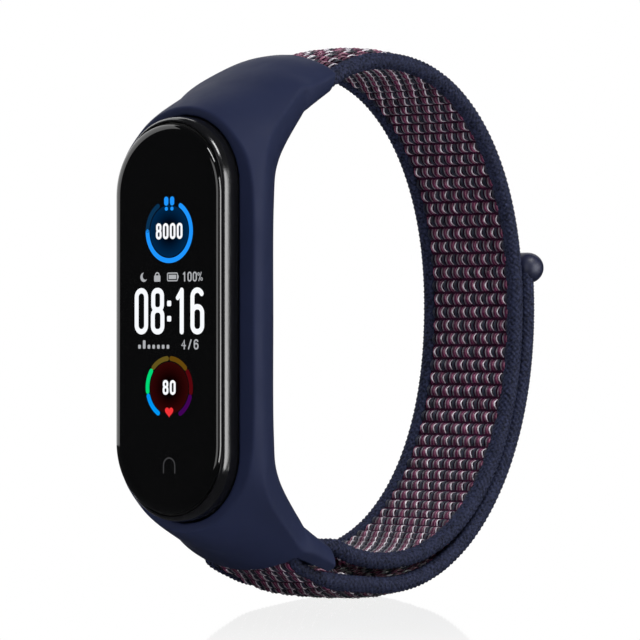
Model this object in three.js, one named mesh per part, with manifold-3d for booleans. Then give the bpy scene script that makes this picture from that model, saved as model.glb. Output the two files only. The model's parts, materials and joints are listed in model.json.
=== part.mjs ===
// A fitness tracker worn on the wrist: an oval tracker capsule that snaps into a moulded carrier
// case, on a woven loop strap that is held at the top lug, threads through the bottom lug and
// folds back on itself with a hook patch.
//
// Millimetres, +Z up. The screen faces -Y and the wrist goes through along X.
// The model is drawn about the middle of the capsule's height and is moved at the end, so that
// the origin is the middle of the underside.
import * as THREE from 'three';
import { mergeVertices } from 'three/addons/utils/BufferGeometryUtils.js';
import Module from 'manifold-3d';

const wasm = await Module();
wasm.setup();

// ---------------------------------------------------------------- driving dimensions

const SCREEN_Y = -26.2;          // front of the cover glass
const CAPSULE_RADIUS = 7.85;     // rounded ends of the capsule, and half its width
const CAPSULE_STRAIGHT = 14.3;   // half the straight run between the rounded ends
const CAPSULE_DEPTH = 12;
const GLASS_RADIUS = 7.65;
const GLASS_STRAIGHT = 13.5;
const WALL = 1;                  // capsule shell wall
const FIT = 0.3;                 // clearance between neighbouring pieces

const STRAP_HALF_WIDTH = 7.2;
const CORD_RADIUS = 0.9;         // edge cord of the strap
const CORD_RADIUS_FOLDED = 0.6;  // the same cord squeezed in the lug
const CORD_X = STRAP_HALF_WIDTH - CORD_RADIUS;
const BAND_HALF_WIDTH = CORD_X - CORD_RADIUS - 0.2;
const BAND_INNER = 0.75;         // from the strap's middle line to its wrist side
const BAND_OUTER = 1.6;          // to its crowned outer side where nothing lies on it
const BAND_PRESSED = 1;          // to its outer side under the tail
const BAND_FOLDED = 0.6;         // each side of the middle line in the lugs

const CASE_RIM_Y = -23.1;        // front rim of the carrier case
const SLOT_HALF_WIDTH = STRAP_HALF_WIDTH + FIT;
const BAR_THICKNESS = 1.2;
const LUG_ANGLE = THREE.MathUtils.degToRad(-24);  // bottom lug, from +Y

const TAB_RADIUS = 1.9;          // end bar of the tail

// The strap's middle line is a superellipse round the wrist, and so is the tail's outside it.
const LOOP_CENTRE = new THREE.Vector2(4.87, 1.05);
const LOOP_TILT = -0.027;
const INNER_LOOP = { across: 23.8, high: 28.5, power: 2.14 };
const TAIL_LOOP = { across: 26.1, high: 31.3, power: 2.05 };

// ---------------------------------------------------------------- materials

const finish = (color, roughness, metalness = 0) => ({ color, roughness, metalness });
const FINISHES = {
  silicone: finish(0x2b314b, 0.55),
  weave: finish(0x4a3345, 0.9),
  cord: finish(0x2a3150, 0.85),
  hooks: finish(0x1a1c26, 0.9),
  tab: finish(0x2f3654, 0.4),
  glass: finish(0x050507, 0.05),
  shell: finish(0x101114, 0.25),
  rubber: finish(0x0c0c0d, 0.8),
  display: finish(0x0a0f18, 0.2),
  flex: finish(0xa8642a, 0.5),
  frame: finish(0x6d7176, 0.5, 0.8),
  board: finish(0x14502f, 0.55),
  chip: finish(0x17181a, 0.6),
  battery: finish(0xb9bcc0, 0.4, 0.6),
  steel: finish(0xc0c3c7, 0.3, 1),
  gold: finish(0xd2a645, 0.3, 1),
  lens: finish(0x0b1512, 0.1),
  led: finish(0x47e06b, 0.3),
  magnet: finish(0x8e9196, 0.35, 1),
};

const root = new THREE.Group();

function add(name, finishName, geometry) {
  const mesh = new THREE.Mesh(geometry, new THREE.MeshStandardMaterial(FINISHES[finishName]));
  mesh.name = name;
  root.add(mesh);
  return mesh;
}

// ---------------------------------------------------------------- solids

// A closed geometry as a solid that can be joined and cut.
function solid(geometry) {
  const bare = geometry.clone();
  bare.deleteAttribute('normal');
  bare.deleteAttribute('uv');
  const merged = mergeVertices(bare, 1e-4);
  return new wasm.Manifold(new wasm.Mesh({
    numProp: 3,
    vertProperties: new Float32Array(merged.attributes.position.array),
    triVerts: new Uint32Array(merged.index.array),
  }));
}

function geometryOf(body) {
  const mesh = body.getMesh();
  const geometry = new THREE.BufferGeometry();
  geometry.setAttribute('position', new THREE.BufferAttribute(mesh.vertProperties, 3));
  geometry.setIndex(new THREE.BufferAttribute(mesh.triVerts, 1));
  return geometry;
}

function signedVolume(points, faces) {
  const cross = new THREE.Vector3();
  return faces.reduce((sum, [a, b, c]) => (
    sum + points[a].dot(cross.crossVectors(points[b], points[c]))), 0);
}

// Closed solid through a row of rings that have the same number of points.
function loft(rings) {
  const count = rings[0].length;
  const points = rings.flat();
  const faces = [];
  for (let i = 0; i + 1 < rings.length; i += 1) {
    for (let j = 0; j < count; j += 1) {
      const a = i * count + j;
      const b = i * count + (j + 1) % count;
      faces.push([a, b, b + count], [a, b + count, a + count]);
    }
  }
  const last = (rings.length - 1) * count;
  for (let j = 1; j + 1 < count; j += 1) {
    faces.push([0, j + 1, j], [last, last + j, last + j + 1]);
  }
  if (signedVolume(points, faces) < 0) faces.forEach((face) => face.reverse());
  const geometry = new THREE.BufferGeometry().setFromPoints(points);
  geometry.setIndex(faces.flat());
  return geometry;
}

// Outline with two straight sides along Z and round ends, seen from the front.
function stadium(radius, straight, steps = 12) {
  const outline = [];
  for (const end of [1, -1]) {
    for (let i = 0; i <= steps; i += 1) {
      const turn = Math.PI * (i / steps) + (end > 0 ? 0 : Math.PI);
      outline.push([radius * Math.cos(turn), end * straight + radius * Math.sin(turn)]);
    }
  }
  return outline;
}

// Stack of such outlines from front to back: levels are [depth behind the glass, radius].
function stack(levels, straight = CAPSULE_STRAIGHT, z = 0) {
  return loft(levels.map(([depth, radius]) => stadium(radius, straight).map(
    ([x, dz]) => new THREE.Vector3(x, SCREEN_Y + depth, z + dz))));
}

// Block with its front at a depth behind the glass.
function block(width, thickness, height, x, depth, z) {
  return new THREE.BoxGeometry(width, thickness, height)
    .translate(x, SCREEN_Y + depth + thickness / 2, z);
}

// Disc, rod or cup turned about the Y direction: its outline is [radius, depth].
function turned(outline, x, z, segments = 20) {
  return new THREE.LatheGeometry(outline.map(([r, d]) => new THREE.Vector2(r, d)), segments)
    .translate(x, SCREEN_Y, z);
}

const disc = (radius, from, to) => [[0, from], [radius, from], [radius, to], [0, to]];

// Prism along X of a side-view outline in [y, z].
function prism(outline, halfWidth) {
  return loft([-halfWidth, halfWidth].map((x) => outline.map(
    ([y, z]) => new THREE.Vector3(x, y, z))));
}

// Rod along X.
function rod(radius, halfLength, y, z, segments = 16) {
  return new THREE.CylinderGeometry(radius, radius, 2 * halfLength, segments)
    .rotateZ(Math.PI / 2).translate(0, y, z);
}

// ---------------------------------------------------------------- strap routes

// Point on a loop; an angle of 0 is at the back of the wrist and 90 degrees at the top.
function loopPoint({ across, high, power }, degrees) {
  const angle = THREE.MathUtils.degToRad(degrees);
  const bend = (value) => Math.sign(value) * Math.abs(value) ** (2 / power);
  return new THREE.Vector2(across * bend(Math.cos(angle)), high * bend(Math.sin(angle)))
    .rotateAround(new THREE.Vector2(), LOOP_TILT).add(LOOP_CENTRE);
}

function loopRoute(loop, from, to, steps) {
  return Array.from({ length: steps + 1 }, (_, i) => (
    loopPoint(loop, from + (to - from) * (i / steps))));
}

const heading = (a, b) => b.clone().sub(a).normalize();
const along = (point, direction, length) => point.clone().addScaledVector(direction, length);

// Smooth run from the end of one route to the start of the next, without its two end points.
function bridge(before, after, steps) {
  const start = before[before.length - 1];
  const end = after[0];
  const reach = start.distanceTo(end) / 3;
  const curve = new THREE.CubicBezierCurve(
    start, along(start, heading(before[before.length - 2], start), reach),
    along(end, heading(end, after[1]), -reach), end);
  return curve.getPoints(steps).slice(1, -1);
}

// Direction to the left of travel, which points away from the wrist on a route that goes over
// the top, down the back and forwards underneath.
function leftOf(route, i) {
  const direction = heading(route[Math.max(i - 1, 0)], route[Math.min(i + 1, route.length - 1)]);
  return new THREE.Vector2(-direction.y, direction.x);
}

// Solid swept along a route: the section of step i is a list of [x, leftwards].
function sweep(route, section) {
  return loft(route.map((point, i) => {
    const left = leftOf(route, i);
    return section(i).map(([x, out]) => {
      const place = along(point, left, out);
      return new THREE.Vector3(x, place.x, place.y);
    });
  }));
}

// Woven band, thinner at its edges: right and left are its reach to each side of its route.
function bandSection(right, left) {
  const shoulder = 0.6 * BAND_HALF_WIDTH;
  const half = [
    [BAND_HALF_WIDTH, -Math.min(right, CORD_RADIUS)], [BAND_HALF_WIDTH, Math.min(left, CORD_RADIUS)],
    [shoulder, left],
  ];
  const mirrored = half.map(([x, out]) => [-x, out]).reverse();
  return [[shoulder, -right], ...half, ...mirrored, [-shoulder, -right]];
}

function cordSection(x, radius) {
  return Array.from({ length: 8 }, (_, i) => {
    const turn = Math.PI * (i + 0.5) / 4;
    return [x + radius * Math.cos(turn), radius * Math.sin(turn)];
  });
}

// Bottom lug: the bar that the strap folds round lies along this direction.
const lugDirection = new THREE.Vector2(Math.cos(LUG_ANGLE), Math.sin(LUG_ANGLE));
const barMiddle = new THREE.Vector2(-9.7, -26.4);
const foldRadius = BAR_THICKNESS / 2 + FIT + BAND_FOLDED;
const foldMiddle = along(barMiddle, lugDirection, -0.9);

const FOLD_TURNS = 8;
function foldRoute() {
  return Array.from({ length: FOLD_TURNS + 1 }, (_, i) => {
    const angle = LUG_ANGLE + Math.PI / 2 + Math.PI * (i / FOLD_TURNS);
    return new THREE.Vector2(
      foldMiddle.x + foldRadius * Math.cos(angle), foldMiddle.y + foldRadius * Math.sin(angle));
  });
}

// Top lug: the strap's end is hemmed round a steel pin.
const pinPlace = new THREE.Vector2(-11.2, 25);
const HEM_RADIUS = 1.25;
const PIN_RADIUS = 0.5;
const PIN_HALF_LENGTH = 7.9;

// The strap goes from the pin over the top, down the back and through the bottom lug, and its
// tail comes back under it and up the outside. The tail bends outwards at two places.
const hemRoute = [pinPlace, along(pinPlace, new THREE.Vector2(1, 0.1).normalize(), 1)];
const mainRoute = loopRoute(INNER_LOOP, 121, -110, 44);
const PEEL_ANGLE = -44;          // tail starts to bend away from the strap
const TIP_ANGLE = -13;           // and its end bends again
const TAIL_END_ANGLE = 7;
const HINGE_GAP = 0.8;           // degrees along the loop on each side of a bend
const tailBaseRoute = loopRoute(TAIL_LOOP, -94, PEEL_ANGLE - HINGE_GAP, 12);
const tailRoute = loopRoute(TAIL_LOOP, PEEL_ANGLE + HINGE_GAP, TIP_ANGLE - HINGE_GAP, 8);
const tipRoute = loopRoute(TAIL_LOOP, TIP_ANGLE + HINGE_GAP, TAIL_END_ANGLE, 6);

const topLead = bridge(hemRoute, mainRoute, 6);
const bottomLead = bridge(mainRoute, foldRoute(), 7);
const tailLead = bridge(foldRoute(), tailBaseRoute, 8);
const beforeFold = [...hemRoute, ...topLead, ...mainRoute, ...bottomLead];
const strapRoute = [...beforeFold, ...foldRoute(), ...tailLead, ...tailBaseRoute];

// ---------------------------------------------------------------- strap

const foldStart = foldRoute()[0];
const foldEnd = foldRoute()[foldRoute().length - 1];

// How squeezed the strap is near the lugs: 1 in the fold or the hem, 0 a few millimetres away.
function squeeze(point) {
  const distance = Math.min(
    point.distanceTo(pinPlace), point.distanceTo(foldStart), point.distanceTo(foldEnd),
    point.distanceTo(foldMiddle));
  return 1 - THREE.MathUtils.smoothstep(distance, 2.2, 6.5);
}

const mix = THREE.MathUtils.lerp;
const cordRadius = (point) => mix(CORD_RADIUS, CORD_RADIUS_FOLDED, squeeze(point));

// The side that faces the wrist on the way to the fold is the tail's outer side after it.
function strapSection(i) {
  const point = strapRoute[i];
  const covered = 1 - THREE.MathUtils.smoothstep(point.y, 8, 14);
  const inTail = i > beforeFold.length + FOLD_TURNS / 2;
  const right = inTail ? BAND_OUTER : BAND_INNER;
  const left = inTail ? BAND_INNER : mix(BAND_OUTER, BAND_PRESSED, covered);
  return bandSection(
    mix(right, BAND_FOLDED, squeeze(point)), mix(left, BAND_FOLDED, squeeze(point)));
}

function strapBand() {
  const band = solid(sweep(strapRoute, strapSection));
  const hem = solid(rod(HEM_RADIUS, BAND_HALF_WIDTH, pinPlace.x, pinPlace.y));
  const hole = solid(rod(PIN_RADIUS + 0.15, SLOT_HALF_WIDTH, pinPlace.x, pinPlace.y));
  return geometryOf(band.add(hem).subtract(hole));
}

function makeStrap() {
  add('strap_band', 'weave', strapBand());
  for (const [side, x] of [['right', CORD_X], ['left', -CORD_X]]) {
    const route = strapRoute.filter((point) => point.distanceTo(pinPlace) > HEM_RADIUS);
    add(`strap_edge_cord_${side}`, 'cord',
      sweep(route, (i) => cordSection(x, cordRadius(route[i]))));
  }
}

const HOOK_LEVEL = 0.1;          // the tail is thinner where the hooks are sewn under it
const HOOK_THICKNESS = 0.55;

function makeTailPart(name, routeForward) {
  const route = [...routeForward].reverse();
  add(`${name}_band`, 'weave', sweep(route, () => bandSection(HOOK_LEVEL, BAND_OUTER)));
  for (const [side, x] of [['right', CORD_X], ['left', -CORD_X]]) {
    add(`${name}_edge_cord_${side}`, 'cord', sweep(route, () => cordSection(x, CORD_RADIUS)));
  }
  const top = -HOOK_LEVEL - 0.1;
  const half = BAND_HALF_WIDTH - 0.3;
  add(`${name}_hook_strip`, 'hooks', sweep(route, () => [
    [-half, top - HOOK_THICKNESS], [half, top - HOOK_THICKNESS], [half, top], [-half, top],
  ]));
}

// Bar across the tail's end, with rounded ends.
function makeEndTab() {
  const end = loopPoint(TAIL_LOOP, TAIL_END_ANGLE);
  const centre = new THREE.Vector2(end.x + 0.8, end.y + TAB_RADIUS + 0.1);
  const half = STRAP_HALF_WIDTH + 0.7;
  const slices = [-1, -0.96, -0.88, -0.76, 0.76, 0.88, 0.96, 1];
  const fullness = (t) => Math.max(0.35, (1 - Math.max(0, (Math.abs(t) - 0.76) / 0.24) ** 2) ** 0.5);
  add('end_tab', 'tab', loft(slices.map((t) => Array.from({ length: 14 }, (_, i) => {
    const turn = 2 * Math.PI * (i / 14);
    return new THREE.Vector3(
      half * t,
      centre.x + TAB_RADIUS * fullness(t) * Math.cos(turn),
      centre.y + TAB_RADIUS * fullness(t) * Math.sin(turn));
  }))));
}

// ---------------------------------------------------------------- carrier case

// Ribs of the top half, from mid-height to the lug's tip. Each goes from the wrist side to the
// crest of the outer side; side is how high its flank stands, chamfer its wrist-side corner.
const CASE_RIBS = [
  { crest: [-26.4, 0], wrist: [-17.7, 0], half: 10.4, side: 4.3, chamfer: 2.4, round: 1 },
  { crest: [-26.4, 16.3], wrist: [-17.7, 12], half: 10.4, side: 4.3, chamfer: 2.4, round: 1 },
  { crest: [-24.8, 22], wrist: [-16.5, 17.2], half: 9.8, side: 4.3, chamfer: 2, round: 1.9 },
  { crest: [-16.7, 26.2], wrist: [-12.3, 22.2], half: 8.8, side: 3.2, chamfer: 1.3, round: 1.9 },
  { crest: [-10.8, 29.1], wrist: [-11.5, 23.2], half: 8.8, side: 2.7, chamfer: 0.9, round: 1.7 },
  { crest: [-7.3, 29.9], wrist: [-7.7, 25.4], half: 8.8, side: 2, chamfer: 0.8, round: 1.8 },
];

// The ribs' values as smooth curves, read at any place t from mid-height (0) to the tip (1).
const ribCurve = (pick) => new THREE.CatmullRomCurve3(
  CASE_RIBS.map((rib) => new THREE.Vector3(...pick(rib))));
const crestCurve = ribCurve((rib) => [rib.half, ...rib.crest]);
const wristCurve = ribCurve((rib) => [rib.half - rib.chamfer, ...rib.wrist]);
const flankCurve = ribCurve((rib) => [rib.side, rib.round, 0]);

function caseRib(t, mirror) {
  const crest = crestCurve.getPoint(t);
  const wrist = wristCurve.getPoint(t);
  const { x: side, y: round } = flankCurve.getPoint(t);
  const height = Math.hypot(crest.y - wrist.y, crest.z - wrist.z);
  const chamfer = crest.x - wrist.x;
  const right = [
    [wrist.x, 0], [crest.x - 0.45 * chamfer, 0.3 * side], [crest.x - 0.1 * chamfer, 0.62 * side],
  ];
  const arcSteps = 7;
  for (let i = 0; i <= arcSteps; i += 1) {
    const turn = Math.PI / 2 * (i / arcSteps);
    right.push([
      crest.x * Math.cos(turn), side + (height - side) * Math.sin(turn) ** round]);
  }
  const left = right.slice(0, -1).reverse().map(([x, h]) => [-x, h]);
  return [...right, ...left].map(([x, h]) => new THREE.Vector3(
    x,
    wrist.y + (crest.y - wrist.y) * (h / height),
    mirror * (wrist.z + (crest.z - wrist.z) * (h / height))));
}

const CASE_STEPS = 14;           // ribs from mid-height to a tip

function caseBlank() {
  const ribs = [];
  for (let i = -CASE_STEPS; i <= CASE_STEPS; i += 1) {
    ribs.push(caseRib(Math.abs(i) / CASE_STEPS, i < 0 ? -1 : 1));
  }
  return solid(loft(ribs));
}

// Depth and radius of the capsule's outside, front to back.
const SHELL_LEVELS = [
  [0.95, 7.4], [1.25, 7.64], [2, 7.8], [3, CAPSULE_RADIUS], [5.5, CAPSULE_RADIUS], [6.8, 7.6],
  [8.1, 7.1], [9.4, 6.3], [10.8, 5.3], [CAPSULE_DEPTH, 4.3],
];

function makeCase() {
  const frontPart = solid(new THREE.BoxGeometry(30, 10, 60).translate(0, CASE_RIM_Y - 5, 0));
  const pocketLevels = SHELL_LEVELS.slice(2).map(([depth, radius]) => [depth, radius + FIT]);
  const pocket = solid(stack([[-3, CAPSULE_RADIUS + FIT], ...pocketLevels, [15, 3]]));

  // Top lug: recess on the wrist side for the strap's end and its hem.
  const strapTop = [...hemRoute, ...topLead, ...mainRoute.slice(0, 8)];
  const recess = solid(sweep(strapTop, (i) => {
    const out = mix(BAND_OUTER, BAND_FOLDED, squeeze(strapTop[i])) + FIT;
    return [[-SLOT_HALF_WIDTH, -6], [SLOT_HALF_WIDTH, -6], [SLOT_HALF_WIDTH, out],
      [-SLOT_HALF_WIDTH, out]];
  }));
  const hemRoom = solid(rod(HEM_RADIUS + FIT, SLOT_HALF_WIDTH, pinPlace.x, pinPlace.y));
  const hemDrop = solid(prism([
    [pinPlace.x - HEM_RADIUS - FIT, pinPlace.y], [pinPlace.x - HEM_RADIUS - FIT, 18],
    [pinPlace.x, 18], [pinPlace.x, pinPlace.y]], SLOT_HALF_WIDTH));
  const pinHole = solid(rod(PIN_RADIUS + 0.15, PIN_HALF_LENGTH + 0.1, pinPlace.x, pinPlace.y));

  // Bottom lug: everything between the rails is cleared, then the crossbar goes back in.
  const slot = solid(prism([
    [-11.9, -21], [-12.7, -25.06], [-13.5, -28.8], [-13.9, -32], [-4, -34], [-4, -21],
  ], SLOT_HALF_WIDTH));
  const barEnds = [along(barMiddle, lugDirection, -0.9), along(barMiddle, lugDirection, 0.9)];
  const barOutline = [];
  for (const [end, side] of [[barEnds[1], 0], [barEnds[0], Math.PI]]) {
    for (let i = 0; i <= 5; i += 1) {
      const turn = LUG_ANGLE + side - Math.PI / 2 + Math.PI * (i / 5);
      barOutline.push([
        end.x + BAR_THICKNESS / 2 * Math.cos(turn), end.y + BAR_THICKNESS / 2 * Math.sin(turn)]);
    }
  }
  const bar = solid(prism(barOutline, SLOT_HALF_WIDTH + 0.4));

  const body = [frontPart, pocket, recess, hemRoom, hemDrop, pinHole, slot].reduce(
    (left, cutter) => left.subtract(cutter), caseBlank());
  add('carrier_case', 'silicone', geometryOf(body.add(bar)));
  add('strap_pin', 'steel', rod(PIN_RADIUS, PIN_HALF_LENGTH, pinPlace.x, pinPlace.y, 12));
}

// ---------------------------------------------------------------- tracker capsule

const LIP_RADIUS = 7.2;          // opening in the shell's front, behind the glass
const SENSOR_Z = 1;
const SENSOR = { radius: 2.6, straight: 2.2 };
const CONTACT_X = 1.9;
const CONTACT_Z = -12.5;
const CONTACT_RADIUS = 1;
const MOTOR_Z = -14.2;
const MOTOR_FROM = 5.4;
const MOTOR_TO = 8.2;

function makeShell() {
  const inside = SHELL_LEVELS.slice(2, -1).map(([depth, radius]) => [depth, radius - WALL]);
  const hollow = solid(stack([[-1, LIP_RADIUS], [1.5, LIP_RADIUS], ...inside, [11, 4.1]]));
  const window = solid(stack([[9, SENSOR.radius + FIT], [13, SENSOR.radius + FIT]],
    SENSOR.straight, SENSOR_Z));
  const contacts = [-1, 1].map((side) => solid(
    turned(disc(CONTACT_RADIUS + FIT, 9, 13), side * CONTACT_X, CONTACT_Z)));
  const shell = [hollow, window, ...contacts].reduce(
    (left, cutter) => left.subtract(cutter), solid(stack(SHELL_LEVELS)));
  add('capsule_shell', 'shell', geometryOf(shell));
}

function makeFront() {
  add('cover_glass', 'glass', stack(
    [[0, 6.4], [0.05, 6.95], [0.16, 7.35], [0.4, 7.6], [0.7, GLASS_RADIUS]], GLASS_STRAIGHT));
  const ring = solid(stack([[0.95, LIP_RADIUS - 0.1], [1.4, LIP_RADIUS - 0.1]]));
  const ringHole = solid(stack([[0.5, LIP_RADIUS - 0.7], [2, LIP_RADIUS - 0.7]]));
  add('glass_gasket', 'rubber', geometryOf(ring.subtract(ringHole)));
  add('display_panel', 'display', block(12.4, 0.8, 28.6, 0, 1.5, 1.1));
  add('display_flex', 'flex', prism([
    [SCREEN_Y + 2.1, -16.1], [SCREEN_Y + 2.1, -13.5], [SCREEN_Y + 1.8, -13.5],
    [SCREEN_Y + 1.8, -16.4], [SCREEN_Y + 3.3, -16.4], [SCREEN_Y + 3.3, -16.1],
  ], 2.5));
}

function makeElectronics() {
  add('inner_frame', 'frame', block(12.6, 0.5, 29, 0, 2.7, 0.6));
  add('main_board', 'board', stack([[3.6, 6.6], [4.2, 6.6]]));
  add('processor_chip', 'chip', block(4.2, 0.8, 4.2, -1.6, 4.35, 14));
  add('radio_chip', 'chip', block(3, 0.7, 3, 2.8, 4.35, 14.2));
  add('motion_sensor_chip', 'chip', block(2, 0.7, 2, -0.4, 4.35, 18.4));
  add('charger_chip', 'chip', block(1.8, 0.6, 1.8, 3.4, 4.35, -18.2));
  add('battery_connector', 'gold', block(2.4, 0.7, 1.2, -3, 4.35, -18.6));
  add('battery_cell', 'battery', block(10, 3.4, 19.6, 0, 5.4, 1));
  // Strip of antenna foil standing along the inside of the top end.
  const outer = solid(stack([[4.5, 6.55], [6.4, 6.55]]));
  const inner = solid(stack([[4, 6.25], [7, 6.25]]));
  const lower = solid(new THREE.BoxGeometry(30, 20, 60).translate(0, SCREEN_Y + 5, -13.5));
  add('antenna_foil', 'gold', geometryOf(outer.subtract(inner).subtract(lower)));
}

function makeSensor() {
  add('sensor_board', 'board', block(6.6, 0.5, 8.6, 0, 9.1, SENSOR_Z));
  add('green_led_1', 'led', block(1.4, 0.6, 1, 0, 9.75, SENSOR_Z + 2.8));
  add('green_led_2', 'led', block(1.4, 0.6, 1, 0, 9.75, SENSOR_Z - 2.8));
  add('photodiode', 'chip', block(2.2, 0.6, 2.2, 0, 9.75, SENSOR_Z));
  add('sensor_window', 'lens', stack(
    [[10.7, SENSOR.radius], [CAPSULE_DEPTH, SENSOR.radius], [CAPSULE_DEPTH + 0.25, 1.8]],
    SENSOR.straight, SENSOR_Z));
}

function makeCharging() {
  for (const [i, side] of [[1, -1], [2, 1]]) {
    add(`charging_contact_${i}`, 'gold', turned(
      disc(CONTACT_RADIUS, 10.1, CAPSULE_DEPTH), side * CONTACT_X, CONTACT_Z, 16));
    add(`charging_magnet_${i}`, 'magnet', block(2.2, 1, 2.2, side * CONTACT_X, 8.8,
      CONTACT_Z + 3.3));
  }
}

// Coin vibration motor: an open can, a shaft, and a half-disc weight that spins on it.
function makeMotor() {
  const shaftRadius = 0.4;
  add('vibration_motor_can', 'steel', turned([
    [shaftRadius + 0.15, MOTOR_FROM], [3.7, MOTOR_FROM], [3.7, MOTOR_TO], [3.4, MOTOR_TO],
    [3.4, MOTOR_FROM + 0.4], [shaftRadius + 0.15, MOTOR_FROM + 0.4],
    [shaftRadius + 0.15, MOTOR_FROM],
  ], 0, MOTOR_Z, 24));
  add('vibration_motor_shaft', 'steel', turned(
    disc(shaftRadius, MOTOR_FROM, MOTOR_TO), 0, MOTOR_Z, 12));
  const whole = solid(turned([
    [shaftRadius + 0.3, 6.2], [3, 6.2], [3, 7.8], [shaftRadius + 0.3, 7.8],
    [shaftRadius + 0.3, 6.2],
  ], 0, MOTOR_Z, 24));
  const half = solid(new THREE.BoxGeometry(8, 4, 4)
    .translate(0, SCREEN_Y + 7, MOTOR_Z + 2 + 1.2));
  add('vibration_motor_weight', 'steel', geometryOf(whole.subtract(half)));
}

// ---------------------------------------------------------------- assembly

makeCase();
makeStrap();
makeTailPart('tail', tailRoute);
makeTailPart('tail_tip', tipRoute);
makeEndTab();
makeShell();
makeFront();
makeElectronics();
makeSensor();
makeCharging();
makeMotor();

// The underside's middle is the origin.
const box = new THREE.Box3().setFromObject(root);
root.position.set(0, -(box.min.y + box.max.y) / 2, -box.min.z);

export default root;
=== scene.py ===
"""Fitness tracker on a woven loop strap: the looks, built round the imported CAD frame.

Lengths in this script are millimetres in the part's drawing frame, whose origin is level with
the middle of the glass. place() turns them into the frame's metres.
"""
import json
import math
import random

import bmesh
import bpy
import numpy as np
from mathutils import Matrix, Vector


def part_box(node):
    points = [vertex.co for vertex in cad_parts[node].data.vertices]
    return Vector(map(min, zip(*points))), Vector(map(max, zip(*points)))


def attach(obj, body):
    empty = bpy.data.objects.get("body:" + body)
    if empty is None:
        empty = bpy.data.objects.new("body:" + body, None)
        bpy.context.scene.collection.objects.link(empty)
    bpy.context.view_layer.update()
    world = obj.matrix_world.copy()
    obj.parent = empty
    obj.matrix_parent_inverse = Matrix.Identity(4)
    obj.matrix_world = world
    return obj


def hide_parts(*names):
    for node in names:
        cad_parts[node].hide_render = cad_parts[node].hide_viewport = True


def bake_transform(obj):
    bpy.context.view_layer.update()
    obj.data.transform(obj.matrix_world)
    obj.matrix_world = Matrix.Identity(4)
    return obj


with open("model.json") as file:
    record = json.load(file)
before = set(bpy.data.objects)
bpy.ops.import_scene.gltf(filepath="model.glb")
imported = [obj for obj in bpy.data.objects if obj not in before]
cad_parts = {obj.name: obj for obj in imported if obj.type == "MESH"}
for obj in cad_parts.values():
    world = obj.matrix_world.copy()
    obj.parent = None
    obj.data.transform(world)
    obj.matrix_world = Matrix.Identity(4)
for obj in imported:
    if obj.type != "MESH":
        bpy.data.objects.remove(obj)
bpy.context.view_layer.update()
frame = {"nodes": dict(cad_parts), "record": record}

# ------------ driving dimensions

SCREEN_Y = -26.2  # front of the glass
CAPSULE_RADIUS = 7.85
CAPSULE_STRAIGHT = 14.3
CAPSULE_DEPTH = 12.0
GLASS_RADIUS = 7.65
GLASS_STRAIGHT = 13.5

STRAP_HALF_WIDTH = 7.2
CORD_RADIUS = 0.9
CORD_RADIUS_FOLDED = 0.6
CORD_X = STRAP_HALF_WIDTH - CORD_RADIUS
WEAVE_HALF_WIDTH = CORD_X - 0.45

CASE_RIM_Y = -23.1
SLOT_HALF_WIDTH = STRAP_HALF_WIDTH + 0.3
BAR_THICKNESS = 1.2
LUG_ANGLE = math.radians(-24)

LOOP_CENTRE = (4.87, 1.05)
LOOP_TILT = -0.027
INNER_LOOP = {"across": 23.8, "high": 28.5, "power": 2.14}
TAIL_LOOP = {"across": 26.1, "high": 31.3, "power": 2.05}
# Places along the loops, in degrees.
LOOP_START, LOOP_END = 121, -110
TAIL_START, PEEL_ANGLE, TIP_ANGLE, TAIL_END = -94, -44, -13, 9.5

ROW_PITCH = 1.61  # of the weave, along the strap
CELL_PITCH = 1.68  # across it

glass_low, glass_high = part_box("cover_glass")
OFFSET = np.array([0, glass_low[1] * 1000 - SCREEN_Y, (glass_low[2] + glass_high[2]) * 500])
rng = random.Random(7)


def place(points):
    """Drawing millimetres to the frame's metres."""
    return (np.asarray(points, float).reshape(-1, 3) + OFFSET) / 1000


# ------------ camera and studio

CAMERA_AZIMUTH = math.radians(40)
CAMERA_ELEVATION = math.radians(-0.3)
CAMERA_DISTANCE = 400
FOCAL_LENGTH = 196.9
FILL_STRENGTH = 0.06
BACKDROP_SPREAD = math.radians(14)


def make_camera():
    back = Vector((
        math.sin(CAMERA_AZIMUTH) * math.cos(CAMERA_ELEVATION),
        -math.cos(CAMERA_AZIMUTH) * math.cos(CAMERA_ELEVATION),
        math.sin(CAMERA_ELEVATION)))
    data = bpy.data.cameras.new("camera")
    data.lens = FOCAL_LENGTH
    data.sensor_width = 36
    data.clip_start = 0.01
    camera = bpy.data.objects.new("camera", data)
    bpy.context.scene.collection.objects.link(camera)
    camera.location = place(np.array(back) * CAMERA_DISTANCE)[0]
    camera.rotation_euler = back.to_track_quat("Z", "Y").to_euler()
    bpy.context.scene.camera = camera


# Area lights: place and size in metres, power in watts.
LIGHTS = (
    ("light_top", (0.36, -0.04, 0.6), (0.25, 0.25), 3.3),
    ("light_right", (0.53, 0.38, 0.02), (0.11, 0.6), 1.4),
    ("light_shine", (0.62, 0.08, 0.02), (0.36, 0.6), 7.0),
    ("light_front", (0.3, -0.65, 0.1), (0.3, 0.8), 1.7),
    ("light_left", (-0.62, -0.04, 0.34), (0.9, 0.8), 3.6),
    ("light_back", (-0.35, 0.6, 0.4), (0.5, 0.5), 1.2),
)


def make_lights():
    """All of them face the glass; light_shine shows in reflections only."""
    centre = Vector(place([0, 0, 0])[0])
    for name, position, size, power in LIGHTS:
        data = bpy.data.lights.new(name, "AREA")
        data.shape = "RECTANGLE"
        data.size, data.size_y = size
        data.energy = power
        light = bpy.data.objects.new(name, data)
        bpy.context.scene.collection.objects.link(light)
        light.location = position
        direction = centre - Vector(position)
        light.rotation_euler = direction.to_track_quat("-Z", "Y").to_euler()
        light.visible_diffuse = name != "light_shine"


FLOOR_SIZE = 6  # metres
FLOOR_MIRROR = 0.15  # share of mirror in the floor under the object
FLOOR_MIRROR_FADE = (0.02, 0.13)  # metres from the origin


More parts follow.
